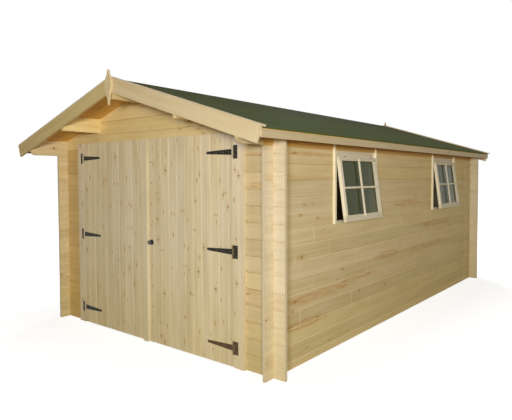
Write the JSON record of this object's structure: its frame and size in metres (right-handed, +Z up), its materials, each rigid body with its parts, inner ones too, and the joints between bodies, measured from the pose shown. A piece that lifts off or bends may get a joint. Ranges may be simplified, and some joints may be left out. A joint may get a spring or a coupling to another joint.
{
  "type": "wooden garage",
  "caption": "Log-built wooden garage with notched corners, a low gabled felt roof on purlins, a hinged double door and top-hung side windows.",
  "frame": {"origin": "bottom centre of the whole building, at floor level, midway between the ends of the roof", "axes": "-Y is the front with the doors, +X the side wall with the windows, +Z up"},
  "size_m": [3.6319, 5.9616, 2.6704],
  "materials": {
    "log_pine": "planed, unpainted",
    "trim_pine": "planed, unpainted",
    "door_pine": "planed, unpainted",
    "window_pine": "planed, unpainted",
    "roof_board": "sawn, unpainted",
    "green_felt": "mineral felt",
    "black_iron": "black japanned, a little rusty",
    "knob_iron": "dark",
    "glass": "clear"
  },
  "bodies": {
    "garage": {"front_wall_left": "log_pine", "front_wall_right": "log_pine", "front_gable": "log_pine", "back_wall": "log_pine", "back_gable": "log_pine", "left_wall": "log_pine", "right_wall_lower": "log_pine", "right_wall_front_pier": "log_pine", "right_wall_middle_pier": "log_pine", "right_wall_rear_pier": "log_pine", "left_wall_plate": "log_pine", "right_wall_plate": "log_pine", "ridge_purlin": "log_pine", "left_purlin": "log_pine", "right_purlin": "log_pine", "roof_boards_left": "roof_board", "roof_boards_right": "roof_board", "roof_felt_left": "green_felt", "roof_felt_right": "green_felt", "fascia_left": "trim_pine", "fascia_right": "trim_pine", "front_barge_left": "trim_pine", "front_barge_right": "trim_pine", "back_barge_left": "trim_pine", "back_barge_right": "trim_pine", "barge_caps": "trim_pine", "finials": "trim_pine", "door_post_left": "door_pine", "door_post_right": "door_pine", "door_head": "door_pine", "left_hinge_plates": "black_iron", "right_hinge_plates": "black_iron", "front_window_frame": "window_pine", "rear_window_frame": "window_pine", "front_window_sash": "window_pine", "rear_window_sash": "window_pine", "window_glass": "glass"},
    "left_door": {"left_door_leaf": "door_pine", "left_door_ledges": "door_pine", "left_hinge_straps": "black_iron"},
    "right_door": {"right_door_leaf": "door_pine", "right_door_ledges": "door_pine", "door_cover_strip": "door_pine", "door_knob": "knob_iron", "right_hinge_straps": "black_iron"}
  },
  "joints": [
    {"name": "left_door_hinge", "type": "hinge", "parent": "garage", "child": "left_door", "pos_m": [-1.1475, -2.5268, 1], "axis": [0, 0, -1], "range_deg": [0, 105]},
    {"name": "right_door_hinge", "type": "hinge", "parent": "garage", "child": "right_door", "pos_m": [1.1475, -2.5268, 1], "axis": [0, 0, 1], "range_deg": [0, 105]}
  ]
}
